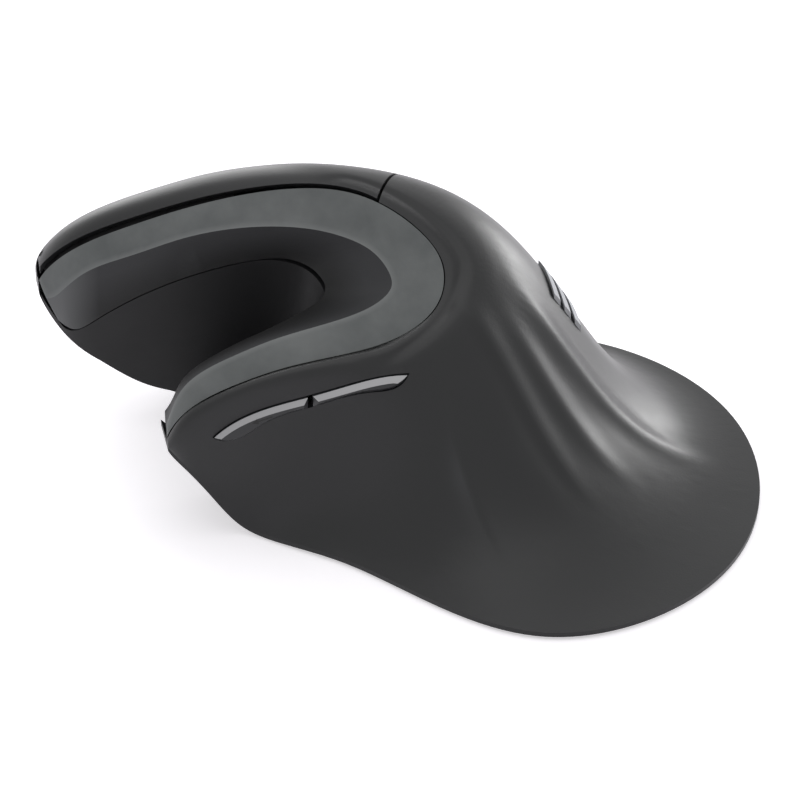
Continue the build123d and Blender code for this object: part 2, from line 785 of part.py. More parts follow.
with BuildPart() as scroll_wheel:
    with BuildSketch(wheel_axis):
        Circle(hub_radius)
        Circle(axle_radius + press_fit, mode=Mode.SUBTRACT)
        with PolarLocations((hub_radius + axle_radius) / 2, 6):
            Circle(hub_hole_radius, mode=Mode.SUBTRACT)
    extrude(amount=wheel_width / 2, both=True)
save(scroll_wheel, "scroll_wheel")

with BuildPart() as wheel_tyre:
    with BuildSketch(wheel_axis):
        Circle(wheel_radius)
        Circle(hub_radius + press_fit, mode=Mode.SUBTRACT)
    extrude(amount=wheel_width / 2, both=True)
    with BuildSketch(wheel_axis):
        with PolarLocations(wheel_radius, tyre_grooves):
            Circle(groove_radius)
    extrude(amount=wheel_width / 2 - tyre_rim, both=True, mode=Mode.SUBTRACT)
save(wheel_tyre, "wheel_tyre")

with BuildPart() as wheel_carrier:
    with BuildSketch(at(wheel_centre, z_dir=finger.z_dir)):
        with Locations(((carrier_back + carrier_front) / 2, 0)):
            Rectangle(carrier_front - carrier_back, 2 * carrier_outer)
        with Locations(((carrier_back + carrier_front - carrier_bar) / 2 - 1, 0)):
            Rectangle(carrier_front - carrier_back - carrier_bar + 2, 2 * carrier_inner, mode=Mode.SUBTRACT)
    extrude(amount=carrier_half, both=True)
    with BuildSketch(at(wheel_centre, out=-carrier_half)):
        for side in (1, -1):
            with Locations((carrier_leg_forward, side * (carrier_inner + carrier_outer) / 2)):
                Rectangle(carrier_leg_length, carrier_outer - carrier_inner)
    extrude(amount=carrier_half + wheel_depth + wheel_press_travel + click_gap - board_depth)
    with BuildSketch(at(wheel_axis, out=-carrier_outer - 1)):
        Circle(axle_radius + running_fit)
    extrude(amount=2 * carrier_outer + 2, mode=Mode.SUBTRACT)
save(wheel_carrier, "wheel_carrier")

with BuildPart() as wheel_encoder:
    with BuildSketch(at(wheel_centre, up=-carrier_outer - seam_gap / 2, z_dir=-finger.y_dir)):
        with Locations((0, -encoder_drop)):
            Rectangle(encoder_length, encoder_height)
        Circle(axle_radius + running_fit, mode=Mode.SUBTRACT)
    extrude(amount=encoder_width)
save(wheel_encoder, "wheel_encoder")

# Button board with its switches, the index button and the indicator.

with BuildPart() as button_board:
    with BuildSketch(board_under):
        with BuildLine():
            Polyline(*BOARD_OUTLINE, close=True)
        make_face()
        with Locations(*BOARD_SCREWS):
            Circle(small_screw_radius + screw_fit, mode=Mode.SUBTRACT)
    extrude(amount=board_thickness)
save(button_board, "button_board")

SWITCHES = {
    "left_switch": (left_switch_forward, left_switch_up, switch_length, switch_width, switch_height),
    "right_switch": (right_switch_forward, right_switch_up, switch_length, switch_width, switch_height),
    "middle_switch": (tact_forward, tact_up, tact_side, tact_side, wheel_tact_height),
    "dpi_switch": (dpi_forward, dpi_up, tact_side, tact_side, tact_height),
}
PLUNGERS = {
    "left_switch": plunger_rise,
    "right_switch": plunger_rise,
    "middle_switch": board_depth - wheel_depth - carrier_half - wheel_tact_height - click_gap,
    "dpi_switch": plunger_rise,
}
for name, (forward, up, length, width, height) in SWITCHES.items():
    with BuildPart() as switch_body:
        with BuildSketch(at(board_top, forward, up)):
            Rectangle(length, width)
        extrude(amount=height)
        with BuildSketch(at(board_top, forward, up, height)):
            Circle(plunger_radius + running_fit)
        extrude(amount=-plunger_well, mode=Mode.SUBTRACT)
    save(switch_body, name)
    with BuildPart() as plunger:
        with BuildSketch(at(board_top, forward, up, height + PLUNGERS[name])):
            Circle(plunger_radius)
        extrude(amount=-PLUNGERS[name] - plunger_well + plunger_travel)
    save(plunger, name.replace("switch", "plunger"))

with BuildPart() as dpi_button:
    with BuildSketch(at(board_top, dpi_forward, dpi_up, tact_height + plunger_rise + click_gap)):
        RectangleRounded(dpi_length, dpi_width, dpi_width / 2 - 0.01)
    extrude(amount=board_depth - tact_height - plunger_rise - click_gap + dpi_proud)
    fillet(dpi_button.faces().sort_by(Axis(finger.origin, finger.z_dir))[-1].edges(), dpi_round)
save(dpi_button, "dpi_button")

with BuildPart() as indicator_lens:
    with BuildSketch(at(board_top, lens_forward, lens_up, led_height + seam_gap)):
        Circle(lens_radius)
    extrude(amount=board_depth - led_height - seam_gap - lens_sunk)
save(indicator_lens, "indicator_lens")

with BuildPart() as indicator_led:
    with BuildSketch(at(board_top, lens_forward, lens_up)):
        Rectangle(led_length, led_width)
    extrude(amount=led_height)
save(indicator_led, "indicator_led")
# The bracket that carries the button board stands on the base plate.

bracket_leg = at(board_under, 0, -bracket_low).origin.X - bracket_wall
FOOT_SCREWS = [
    (bracket_leg - bracket_foot / 2, bracket_rear + bracket_length / 4),
    (bracket_leg - bracket_foot / 2, bracket_rear + 3 * bracket_length / 4),
]
with BuildPart() as button_bracket:
    with BuildSketch(Plane(origin=(0, bracket_rear, 0), x_dir=(1, 0, 0), z_dir=(0, -1, 0))):
        shelf_high = at(board_under, 0, bracket_high).origin
        shelf_low = at(board_under, 0, -bracket_low).origin
        under_high = at(board_under, 0, bracket_high, -bracket_wall).origin
        under_low = at(board_under, 0, -bracket_low, -bracket_wall).origin
        with BuildLine():
            Polyline(
                (shelf_high.X, shelf_high.Z), (shelf_low.X, shelf_low.Z),
                (shelf_low.X, plate_top),
                (bracket_leg - bracket_foot, plate_top),
                (bracket_leg - bracket_foot, plate_top + bracket_wall),
                (bracket_leg, plate_top + bracket_wall), (bracket_leg, under_low.Z - 2 * bracket_wall),
                (under_low.X - 1, under_low.Z), (under_high.X, under_high.Z), close=True)
        make_face()
    extrude(amount=-bracket_length)
    with BuildSketch(Plane.XY.offset(plate_top)):
        with Locations(*FOOT_SCREWS):
            Circle(small_screw_radius + screw_fit)
    extrude(amount=bracket_wall, mode=Mode.SUBTRACT)
    with BuildSketch(at(board_under)):
        with Locations(*BOARD_SCREWS):
            Circle(small_screw_radius + screw_fit)
    extrude(amount=-bracket_wall, mode=Mode.SUBTRACT)
save(button_bracket, "button_bracket")

# Side switches on their own board, held by an upright bracket behind the thumb face.

with BuildPart() as side_board:
    with BuildSketch(Plane.YZ.offset(side_board_face)):
        with BuildLine():
            Polyline(*SIDE_BOARD_OUTLINE, close=True)
        make_face()
    extrude(amount=board_thickness)
save(side_board, "side_board")

side_shelf = side_board_face + board_thickness
with BuildPart() as side_bracket:
    with BuildSketch(Plane.YZ.offset(side_shelf)):
        with Locations((side_bracket_middle, (plate_top + side_bracket_top) / 2)):
            Rectangle(side_bracket_length, side_bracket_top - plate_top)
    extrude(amount=side_bracket_wall)
    with BuildSketch(Plane.XY.offset(plate_top)):
        with Locations((side_shelf - side_foot / 2 + side_bracket_wall / 2, side_bracket_middle)):
            Rectangle(side_foot + side_bracket_wall, side_bracket_length)
    extrude(amount=side_bracket_wall)
    with BuildSketch(Plane.XY.offset(plate_top)):
        with Locations(*SIDE_FOOT_SCREWS):
            Circle(small_screw_radius + screw_fit)
    extrude(amount=side_bracket_wall, mode=Mode.SUBTRACT)
save(side_bracket, "side_bracket")

switch_face = side_board_face - switch_height
for name, (stem_y, stem_z) in side_stems.items():
    short = name.replace("_button", "")
    with BuildPart() as side_switch:
        with BuildSketch(Plane(origin=(side_board_face, stem_y, stem_z),
                               x_dir=(0, 1, 0), z_dir=(-1, 0, 0))):
            Rectangle(switch_length, switch_width)
        extrude(amount=switch_height)
        with BuildSketch(Plane(origin=(switch_face, stem_y, stem_z), z_dir=(1, 0, 0))):
            Circle(plunger_radius + running_fit)
        extrude(amount=plunger_well, mode=Mode.SUBTRACT)
    save(side_switch, short + "_switch")
    with BuildPart() as side_plunger:
        with BuildSketch(Plane(origin=(switch_face - plunger_rise, stem_y, stem_z), z_dir=(1, 0, 0))):
            Circle(plunger_radius)
        extrude(amount=plunger_rise + plunger_well - plunger_travel)
    save(side_plunger, short + "_plunger")

# Base plate, with openings for the lens, door, receiver and power slider.

battery_way = Vector(math.sin(math.radians(battery_turn)), math.cos(math.radians(battery_turn)), 0)
battery_side = Vector(battery_way.Y, -battery_way.X, 0)
battery_end = Plane(origin=(*battery_rear, battery_height), x_dir=battery_side, z_dir=battery_way)
battery_plan = Plane(origin=(*battery_rear, 0), x_dir=battery_side, z_dir=(0, 0, 1))
door_middle = battery_length / 2 + (front_room - spring_room) / 2
door_length = battery_length + front_room + spring_room

with BuildPart() as base_plate:
    with BuildSketch(Plane.XY.offset(foot_height)):
        with BuildLine():
            rim = foot_outline(plate_gap)
            Spline(*rim)
            Polyline(rim[-1], *PLATE_FRONT, rim[0])
        make_face()
    extrude(amount=plate_thickness)
    add(body_wall.part, mode=Mode.SUBTRACT)
    with BuildSketch(battery_plan.offset(plate_top)):
        for side in (1, -1):
            with Locations((side * (battery_radius + tray_gap + tray_wall / 2), battery_length / 2)):
                Rectangle(tray_wall, battery_length - 2 * tray_inset)
        for spot in (-spring_room - tray_wall / 2, battery_length + front_room + tray_wall / 2):
            with Locations((0, spot)):
                Rectangle(tray_end, tray_wall)
    extrude(amount=tray_height)
    with BuildSketch(Plane.XY.offset(plate_top)):
        with Locations(*BOARD_POSTS):
            Circle(post_radius)
    extrude(amount=main_board_height - plate_top)
    with BuildSketch(Plane.XY.offset(plate_top)):
        with Locations(receiver_place):
            Rectangle(receiver_width + 2 * (receiver_gap + tray_wall),
                      receiver_length + 2 * (receiver_gap + tray_wall))
    extrude(amount=pocket_height)
    with BuildSketch(Plane.XY):
        with Locations(receiver_place):
            Rectangle(receiver_width + 2 * receiver_gap, receiver_length + 2 * receiver_gap)
        Rectangle(lens_width + 2 * press_fit, lens_length + 2 * press_fit)
        with Locations(power_place):
            Rectangle(slider_length + power_travel + 2 * slider_gap, slider_width + 2 * slider_gap)
    extrude(amount=plate_top + pocket_height, mode=Mode.SUBTRACT)
    with BuildSketch(battery_plan):
        with Locations((0, door_middle)):
            Rectangle(2 * (battery_radius + tray_gap), door_length)
    extrude(amount=plate_top, mode=Mode.SUBTRACT)
    with BuildSketch(Plane.XY):
        with Locations(*base_screws):
            Circle(screw_radius + screw_clearance)
    extrude(amount=plate_top, mode=Mode.SUBTRACT)
    with BuildSketch(Plane.XY):
        with Locations(*base_screws):
            Circle(screw_head_radius + screw_clearance)
    extrude(amount=foot_height + screw_head_height, mode=Mode.SUBTRACT)
    with BuildSketch(Plane.XY.offset(plate_top - small_screw_bite)):
        with Locations(*SIDE_FOOT_SCREWS, *FOOT_SCREWS):
            Circle(small_screw_radius + screw_fit)
    extrude(amount=small_screw_bite, mode=Mode.SUBTRACT)
    with BuildSketch(Plane.XY.offset(plate_top)):
        with Locations(*BOARD_POSTS):
            Circle(small_screw_radius + screw_fit)
    extrude(amount=main_board_height, mode=Mode.SUBTRACT)
    with BuildSketch(Plane.XY):
        for x, y, length, width, turn in GLIDE_FEET:
            with Locations(Location((x, y), turn)):
                SlotOverall(length + 2 * foot_gap, width + 2 * foot_gap)
    extrude(amount=foot_height + foot_recess, mode=Mode.SUBTRACT)
save(base_plate, "base_plate")

with BuildPart() as glide_feet:
    with BuildSketch(Plane.XY):
        for x, y, length, width, turn in GLIDE_FEET:
            with Locations(Location((x, y), turn)):
                SlotOverall(length, width)
    extrude(amount=foot_height + foot_recess)
save(glide_feet, "glide_feet")

with BuildPart() as battery_door:
    with BuildSketch(battery_plan.offset(foot_height)):
        with Locations((0, door_middle)):
            RectangleRounded(2 * (battery_radius + tray_gap - door_gap),
                             door_length - 2 * door_gap, door_corner)
    extrude(amount=plate_thickness)
    with BuildSketch(battery_plan.offset(foot_height)):
        for row in range(grip_rows):
            with Locations((0, door_middle - door_length / 2 + grip_start + row * grip_pitch)):
                SlotOverall(grip_length, grip_width)
    extrude(amount=grip_sunk, mode=Mode.SUBTRACT)
save(battery_door, "battery_door")

# The cell lies on its door between a spring and a contact.

with BuildPart() as battery:
    with BuildSketch(battery_end):
        Circle(battery_radius)
    extrude(amount=battery_length - battery_nub)
    chamfer(battery.edges().filter_by(GeomType.CIRCLE), battery_edge)
    with BuildSketch(at(battery_end, out=battery_length - battery_nub)):
        Circle(nub_radius)
    extrude(amount=battery_nub)
save(battery, "battery")

with BuildPart() as battery_contact:
    with BuildSketch(at(battery_end, out=battery_length + front_room - contact_thickness)):
        with Locations((0, contact_drop)):
            Rectangle(contact_width, contact_width)
    extrude(amount=contact_thickness)
    with BuildSketch(at(battery_end, out=battery_length + contact_touch)):
        Circle(nub_radius - 0.6)
    extrude(amount=front_room - contact_touch)
save(battery_contact, "battery_contact")

with BuildPart() as battery_spring:
    with BuildSketch(at(battery_end, out=-spring_room)):
        with Locations((0, contact_drop)):
            Rectangle(contact_width, contact_width)
    extrude(amount=contact_thickness)
    for turn in range(spring_turns):
        with BuildSketch(at(battery_end, out=contact_thickness - spring_room + turn * spring_wire)):
            Circle(spring_radius - turn * spring_step + spring_wire)
            Circle(spring_radius - turn * spring_step - spring_wire / 2, mode=Mode.SUBTRACT)
        extrude(amount=spring_wire)
save(battery_spring, "battery_spring")

# Main board with the optical sensor, radio chip and power switch.

with BuildPart() as main_board:
    with BuildSketch(Plane.XY.offset(main_board_height)):
        with BuildLine():
            Polyline(*MAIN_BOARD_OUTLINE, close=True)
        make_face()
        with Locations(*BOARD_POSTS):
            Circle(small_screw_radius + screw_clearance, mode=Mode.SUBTRACT)
        Rectangle(sensor_window, sensor_window, mode=Mode.SUBTRACT)
    extrude(amount=board_thickness)
save(main_board, "main_board")

board_face = main_board_height + board_thickness
with BuildPart() as sensor:
    with BuildSketch(Plane.XY.offset(board_face)):
        Rectangle(sensor_width, sensor_length)
    extrude(amount=sensor_height)
save(sensor, "sensor")

with BuildPart() as sensor_lens:
    with BuildSketch(Plane.XY.offset(plate_top)):
        Rectangle(lens_width + 2 * lens_lip, lens_length + 2 * lens_lip)
    extrude(amount=main_board_height - plate_top - seat_gap)
    with BuildSketch(Plane.XY.offset(foot_height + lens_recess)):
        Rectangle(lens_width, lens_length)
    extrude(amount=plate_thickness - lens_recess)
save(sensor_lens, "sensor_lens")

with BuildPart() as radio_chip:
    with BuildSketch(Plane.XY.offset(board_face)):
        with Locations(radio_place):
            Rectangle(radio_side, radio_side)
    extrude(amount=radio_height)
save(radio_chip, "radio_chip")

with BuildPart() as power_switch:
    with BuildSketch(Plane.XY.offset(plate_top + slider_play)):
        with Locations(power_place):
            Rectangle(power_length, power_width)
            Rectangle(peg_side + power_travel + 2 * slider_gap, peg_side + 2 * slider_gap, mode=Mode.SUBTRACT)
    extrude(amount=main_board_height - plate_top - slider_play)
save(power_switch, "power_switch")

slider_x = power_place[0] - power_travel / 2
with BuildPart() as power_slider:
    with BuildSketch(Plane.XY.offset(foot_height + slider_sunk)):
        with Locations((slider_x, power_place[1])):
            Rectangle(slider_length, slider_width)
    extrude(amount=plate_thickness - slider_sunk)
    with BuildSketch(Plane.XY.offset(plate_top)):
        with Locations((slider_x, power_place[1])):
            Rectangle(peg_side, peg_side)
    extrude(amount=peg_height)
save(power_slider, "power_slider")

# Radio receiver stored in a pocket of the base: a cap and a metal plug.

cap_y = receiver_place[1] - receiver_length / 2 + cap_length / 2
plug_y = receiver_place[1] + receiver_length / 2 - (receiver_length - cap_length) / 2
with BuildPart() as receiver_cap:
    with BuildSketch(Plane.XY.offset(receiver_low)):
        with Locations((receiver_place[0], cap_y)):
            Rectangle(receiver_width, cap_length)
    extrude(amount=receiver_height)
    fillet(receiver_cap.edges().filter_by(Axis.Y), receiver_round)
save(receiver_cap, "receiver_cap")

with BuildPart() as receiver_plug:
    plug_plane = Plane(origin=(receiver_place[0], cap_y + cap_length / 2, receiver_low + receiver_height / 2),
                       x_dir=(1, 0, 0), z_dir=(0, 1, 0))
    with BuildSketch(plug_plane):
        Rectangle(plug_width, plug_height)
    extrude(amount=receiver_length - cap_length)
    with BuildSketch(plug_plane.offset(1)):
        with Locations((0, plug_height / 4 - plug_sheet)):
            Rectangle(plug_width - 2 * plug_sheet, plug_height / 2)
    extrude(amount=receiver_length - cap_length, mode=Mode.SUBTRACT)
save(receiver_plug, "receiver_plug")

# Fasteners.

with BuildPart() as base_screws_group:
    with BuildSketch(Plane.XY.offset(foot_height + screw_head_sunk)):
        with Locations(*base_screws):
            Circle(screw_head_radius)
    extrude(amount=screw_head_height - screw_head_sunk)
    with BuildSketch(Plane.XY.offset(foot_height + screw_head_height)):
        with Locations(*base_screws):
            Circle(screw_radius)
    extrude(amount=screw_tip - foot_height - screw_head_height)
    with BuildSketch(Plane.XY.offset(foot_height + screw_head_sunk)):
        with Locations(*base_screws):
            Rectangle(cross_length, cross_width)
            Rectangle(cross_width, cross_length)
    extrude(amount=cross_depth, mode=Mode.SUBTRACT)
save(base_screws_group, "base_screws")

with BuildPart() as bracket_screws:
    with BuildSketch(Plane.XY.offset(plate_top - small_screw_bite + seat_gap)):
        with Locations(*FOOT_SCREWS, *SIDE_FOOT_SCREWS):
            Circle(small_screw_radius)
    extrude(amount=small_screw_bite - seat_gap + bracket_wall)
    with BuildSketch(Plane.XY.offset(plate_top + bracket_wall)):
        with Locations(*FOOT_SCREWS, *SIDE_FOOT_SCREWS):
            Circle(small_head_radius)
    extrude(amount=small_head_height)
save(bracket_screws, "bracket_screws")

with BuildPart() as board_screws:
    with BuildSketch(Plane.XY.offset(plate_top + seat_gap)):
        with Locations(*BOARD_POSTS):
            Circle(small_screw_radius)
    extrude(amount=board_face - plate_top - seat_gap)
    with BuildSketch(Plane.XY.offset(board_face)):
        with Locations(*BOARD_POSTS):
            Circle(small_head_radius)
    extrude(amount=small_head_height)
    with BuildSketch(at(board_under, out=-bracket_wall)):
        with Locations(*BOARD_SCREWS):
            Circle(small_screw_radius)
    extrude(amount=bracket_wall + board_thickness)
    with BuildSketch(board_top):
        with Locations(*BOARD_SCREWS):
            Circle(small_head_radius)
    extrude(amount=small_head_height)
save(board_screws, "board_screws")

# Flat cables and their sockets.

with BuildPart() as ribbon_sockets:
    with BuildSketch(Plane.XY.offset(board_face)):
        with Locations(main_socket, side_socket):
            Rectangle(socket_width, socket_length)
    extrude(amount=socket_height)
    with BuildSketch(at(board_under, ribbon_forward, ribbon_up)):
        Rectangle(socket_length, socket_width)
    extrude(amount=-socket_height)
    with BuildSketch(Plane(origin=(side_board_face, side_ribbon_y, side_ribbon_z),
                           x_dir=(0, 1, 0), z_dir=(-1, 0, 0))):
        Rectangle(socket_width, socket_length)
    extrude(amount=socket_height)
save(ribbon_sockets, "ribbon_sockets")

ribbon_start = at(board_under, ribbon_forward, ribbon_up, -socket_height).origin
with BuildPart() as main_ribbon:
    with BuildSketch(Plane(origin=(0, ribbon_start.Y, 0), x_dir=(1, 0, 0), z_dir=(0, -1, 0))):
        with BuildLine():
            Spline((ribbon_start.X, ribbon_start.Z), *MAIN_RIBBON,
                   (main_socket[0], board_face + socket_height),
                   tangents=[(-finger.z_dir.X, -finger.z_dir.Z), (0, -1)])
        trace(line_width=ribbon_thickness)
    extrude(amount=ribbon_width / 2, both=True)
save(main_ribbon, "main_ribbon")

side_ribbon_x = side_board_face - socket_height / 2
with BuildPart() as side_ribbon:
    with BuildSketch(Plane.YZ.offset(side_ribbon_x)):
        with BuildLine():
            Spline((side_ribbon_y, side_ribbon_z - socket_length / 2), *SIDE_RIBBON,
                   (side_socket[1], board_face + socket_height), tangents=[(0, -1), (0, -1)])
        trace(line_width=ribbon_thickness)
    extrude(amount=-ribbon_width)
save(side_ribbon, "side_ribbon")

# Ribbed strip on the right of the back.

with BuildPart() as grip_strip:
    with BuildSketch(Plane.XY):
        with Locations(*STRIP_RIBS):
            Rectangle(strip_width, strip_rib)
    extrude(amount=strip_blank)
    loft(sections=[skin_section(station, strip_proud, -strip_sunk, strip_skin_start, strip_skin_end)
                   for station in STATIONS[8:12]],
         mode=Mode.INTERSECT)
    add(body_wall.part, mode=Mode.SUBTRACT)
save(grip_strip, "grip_strip")
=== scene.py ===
import bmesh
import bpy
import json
import math
from mathutils import Matrix, Vector
from mathutils.geometry import intersect_point_line
from mathutils.kdtree import KDTree


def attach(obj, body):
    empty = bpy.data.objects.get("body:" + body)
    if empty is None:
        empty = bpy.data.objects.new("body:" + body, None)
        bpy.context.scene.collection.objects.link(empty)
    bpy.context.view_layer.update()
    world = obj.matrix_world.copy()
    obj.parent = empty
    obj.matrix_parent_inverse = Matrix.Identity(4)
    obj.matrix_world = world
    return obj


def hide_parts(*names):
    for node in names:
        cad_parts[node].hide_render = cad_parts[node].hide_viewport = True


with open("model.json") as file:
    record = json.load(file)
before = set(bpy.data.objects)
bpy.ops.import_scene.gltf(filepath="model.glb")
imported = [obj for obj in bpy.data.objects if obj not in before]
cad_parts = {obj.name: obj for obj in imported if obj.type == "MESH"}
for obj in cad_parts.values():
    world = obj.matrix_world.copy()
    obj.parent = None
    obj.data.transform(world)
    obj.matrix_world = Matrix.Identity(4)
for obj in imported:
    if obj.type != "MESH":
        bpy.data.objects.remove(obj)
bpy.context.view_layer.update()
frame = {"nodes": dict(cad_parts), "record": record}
nodes = frame["nodes"]

# Small tools that build the materials.


def tree_of(material):
    """The empty node tree of a material, with its Principled shader and output."""
    material.use_nodes = True
    tree = material.node_tree
    tree.nodes.clear()
    shader = tree.nodes.new("ShaderNodeBsdfPrincipled")
    output = tree.nodes.new("ShaderNodeOutputMaterial")
    tree.links.new(shader.outputs["BSDF"], output.inputs["Surface"])
    return tree, shader


def group_tree(name, takes, gives):
    """An empty shader node group with float inputs and the named outputs."""
    tree = bpy.data.node_groups.new(name, "ShaderNodeTree")
    for label, value in takes.items():
        socket = tree.interface.new_socket(label, in_out="INPUT", socket_type="NodeSocketFloat")
        socket.default_value = value
    for label in gives:
        tree.interface.new_socket(label, in_out="OUTPUT", socket_type="NodeSocketFloat")
    return tree, tree.nodes.new("NodeGroupInput").outputs, tree.nodes.new("NodeGroupOutput").inputs


def grouped(tree, group, **values):
    """The outputs of a shared group placed in a tree, with its inputs set."""
    node = tree.nodes.new("ShaderNodeGroup")
    node.node_tree = group
    for label, value in values.items():
        node.inputs[label.replace("_", " ")].default_value = value
    return node.outputs


def maths(tree, operation, first, second=None, clamp=False):
    """The output of a Math node of two sockets or numbers."""
    node = tree.nodes.new("ShaderNodeMath")
    node.operation = operation
    node.use_clamp = clamp
    for index, value in enumerate((first, second)):
        if value is None:
            continue
        if isinstance(value, (int, float)):
            node.inputs[index].default_value = value
        else:
            tree.links.new(value, node.inputs[index])
    return node.outputs[0]


def added(tree, first, second):
    """The sum of two sockets or numbers."""
    return maths(tree, "ADD", first, second)


def less(tree, first, second):
    """The first of two sockets or numbers less the second."""
    return maths(tree, "SUBTRACT", first, second)


def times(tree, first, second, clamp=False):
    """The product of two sockets or numbers."""
    return maths(tree, "MULTIPLY", first, second, clamp)


def over(tree, first, second, clamp=False):
    """The first of two sockets or numbers divided by the second."""
    return maths(tree, "DIVIDE", first, second, clamp)


def eased(tree, value):
    """A share from 0 to 1 that starts and ends level."""
    steep = less(tree, 3.0, times(tree, value, 2.0))
    return times(tree, times(tree, value, value), steep)


def bell(tree, share):
    """A hump of height 1 where the share is 0, gone where it is well beyond 1."""
    return maths(tree, "EXPONENT", times(tree, times(tree, share, share), -1.0))


def strengthened(tree, value, low, high):
    """A value with its range low..high stretched to 0..1 and cut off beyond it."""
    return over(tree, less(tree, value, low), high - low, clamp=True)


def ranged(tree, value, low, high):
    """A value stretched from 0..1 to low..high."""
    node = tree.nodes.new("ShaderNodeMapRange")
    node.inputs["To Min"].default_value = low
    node.inputs["To Max"].default_value = high
    tree.links.new(value, node.inputs["Value"])
    return node.outputs["Result"]


def mixed(tree, share, low, high):
    """A colour between two, by a share socket."""
    share_input, low_input, high_input, colour_output = 0, 6, 7, 2
    node = tree.nodes.new("ShaderNodeMix")
    node.data_type = "RGBA"
    tree.links.new(share, node.inputs[share_input])
    for index, colour in ((low_input, low), (high_input, high)):
        if isinstance(colour, tuple):
            node.inputs[index].default_value = (*colour, 1.0)
        else:
            tree.links.new(colour, node.inputs[index])
    return node.outputs[colour_output]


def shaded(colour, share):
    """A colour made lighter or darker by a share."""
    return tuple(part * share for part in colour)


def object_spot(tree):
    """The X, Y and Z of Object coordinates, in metres."""
    spot = tree.nodes.new("ShaderNodeSeparateXYZ")
    tree.links.new(tree.nodes.new("ShaderNodeTexCoord").outputs["Object"], spot.inputs[0])
    return spot.outputs


def attribute(tree, name):
    """The value of one of the piece's own attributes."""
    node = tree.nodes.new("ShaderNodeAttribute")
    node.attribute_name = name
    return node.outputs["Fac"]


def noise(tree, scale, detail=3.0, roughness=0.55, stretch=None):
    """The value of a Noise texture on Object coordinates, in metres."""
    place = tree.nodes.new("ShaderNodeTexCoord")
    texture = tree.nodes.new("ShaderNodeTexNoise")
    texture.inputs["Detail"].default_value = detail
    texture.inputs["Roughness"].default_value = roughness
    spot = place.outputs["Object"]
    if stretch:
        mapping = tree.nodes.new("ShaderNodeMapping")
        mapping.inputs["Scale"].default_value = stretch
        tree.links.new(spot, mapping.inputs["Vector"])
        spot = mapping.outputs["Vector"]
    tree.links.new(spot, texture.inputs["Vector"])
    if isinstance(scale, (int, float)):
        texture.inputs["Scale"].default_value = scale
    else:
        tree.links.new(scale, texture.inputs["Scale"])
    return texture.outputs["Fac"]


def bumped(tree, shader, height, strength, distance, before=None):
    """A Bump node of a height socket, chained after another normal."""
    node = tree.nodes.new("ShaderNodeBump")
    node.inputs["Strength"].default_value = strength
    node.inputs["Distance"].default_value = distance
    tree.links.new(height, node.inputs["Height"])
    if before:
        tree.links.new(before, node.inputs["Normal"])
    tree.links.new(node.outputs["Normal"], shader.inputs["Normal"])
    return node.outputs["Normal"]


# Effects that several finishes share. Texture scales are in features per metre.


def spark_group():
    """Spark-eroded mould texture: a fine grain height, a soft cloud and faint smudges."""
    grain_detail, cloud_detail = 2.0, 4.0
    smudge_scale, smudge_detail, smudge_roughness, smudge_stretch = 160.0, 3.0, 0.6, (1.0, 0.35, 1.0)
    smudge_contrast = 2.2
    tree, takes, gives = group_tree("moulded_grain", {"Grain size": 2600.0, "Cloud size": 45.0},
                                    ("Grain", "Cloud", "Smudge"))
    tree.links.new(noise(tree, takes["Grain size"], grain_detail), gives["Grain"])
    tree.links.new(noise(tree, takes["Cloud size"], cloud_detail), gives["Cloud"])
    smear = noise(tree, smudge_scale, smudge_detail, smudge_roughness, smudge_stretch)
    tree.links.new(maths(tree, "POWER", smear, smudge_contrast), gives["Smudge"])
    return tree


def wear_group():
    """Light wear along sharp edges, from how the surface turns."""
    edge_gain, chip_scale = 9.0, 900.0
    tree, takes, gives = group_tree("edge_wear", {"Sharpness": 0.55}, ("Wear",))
    geometry = tree.nodes.new("ShaderNodeNewGeometry")
    edge = less(tree, geometry.outputs["Pointiness"], takes["Sharpness"])
    broken = times(tree, times(tree, edge, edge_gain, clamp=True), noise(tree, chip_scale))
    tree.links.new(broken, gives["Wear"])
    return tree


def pleat_group():
    """The height of one pleat on the palm: a slow rise to a crisp ridge and a quick drop beyond it."""
    fade_in_length, fade_out_length = 0.012, 0.018
    starts = {"Centre X": 0.00865, "Centre Y": 0.006, "Heading": -2.2, "Turn": 0.0, "Inner": 0.02,
              "Outer": 0.04, "Rise": 0.0035, "Drop": 0.0009}
    tree, takes, gives = group_tree("palm_pleat", starts, ("Height",))
    spot = object_spot(tree)
    across = less(tree, spot["X"], takes["Centre X"])
    ahead = less(tree, spot["Y"], takes["Centre Y"])
    reach = maths(tree, "SQRT", added(tree, times(tree, across, across), times(tree, ahead, ahead)))
    turned = times(tree, takes["Turn"], less(tree, reach, takes["Inner"]))
    line = added(tree, takes["Heading"], turned)
    aside = times(tree, less(tree, maths(tree, "ARCTAN2", ahead, across), line), reach)
    beyond = maths(tree, "GREATER_THAN", aside, 0.0)
    width = added(tree, times(tree, beyond, takes["Drop"]),
                  times(tree, less(tree, 1.0, beyond), takes["Rise"]))
    ridge = bell(tree, over(tree, aside, width))
    fade_in = over(tree, less(tree, reach, takes["Inner"]), fade_in_length, clamp=True)
    fade_out = over(tree, less(tree, takes["Outer"], reach), fade_out_length, clamp=True)
    ends = times(tree, eased(tree, fade_in), eased(tree, fade_out))
    tree.links.new(times(tree, ridge, ends), gives["Height"])
    return tree


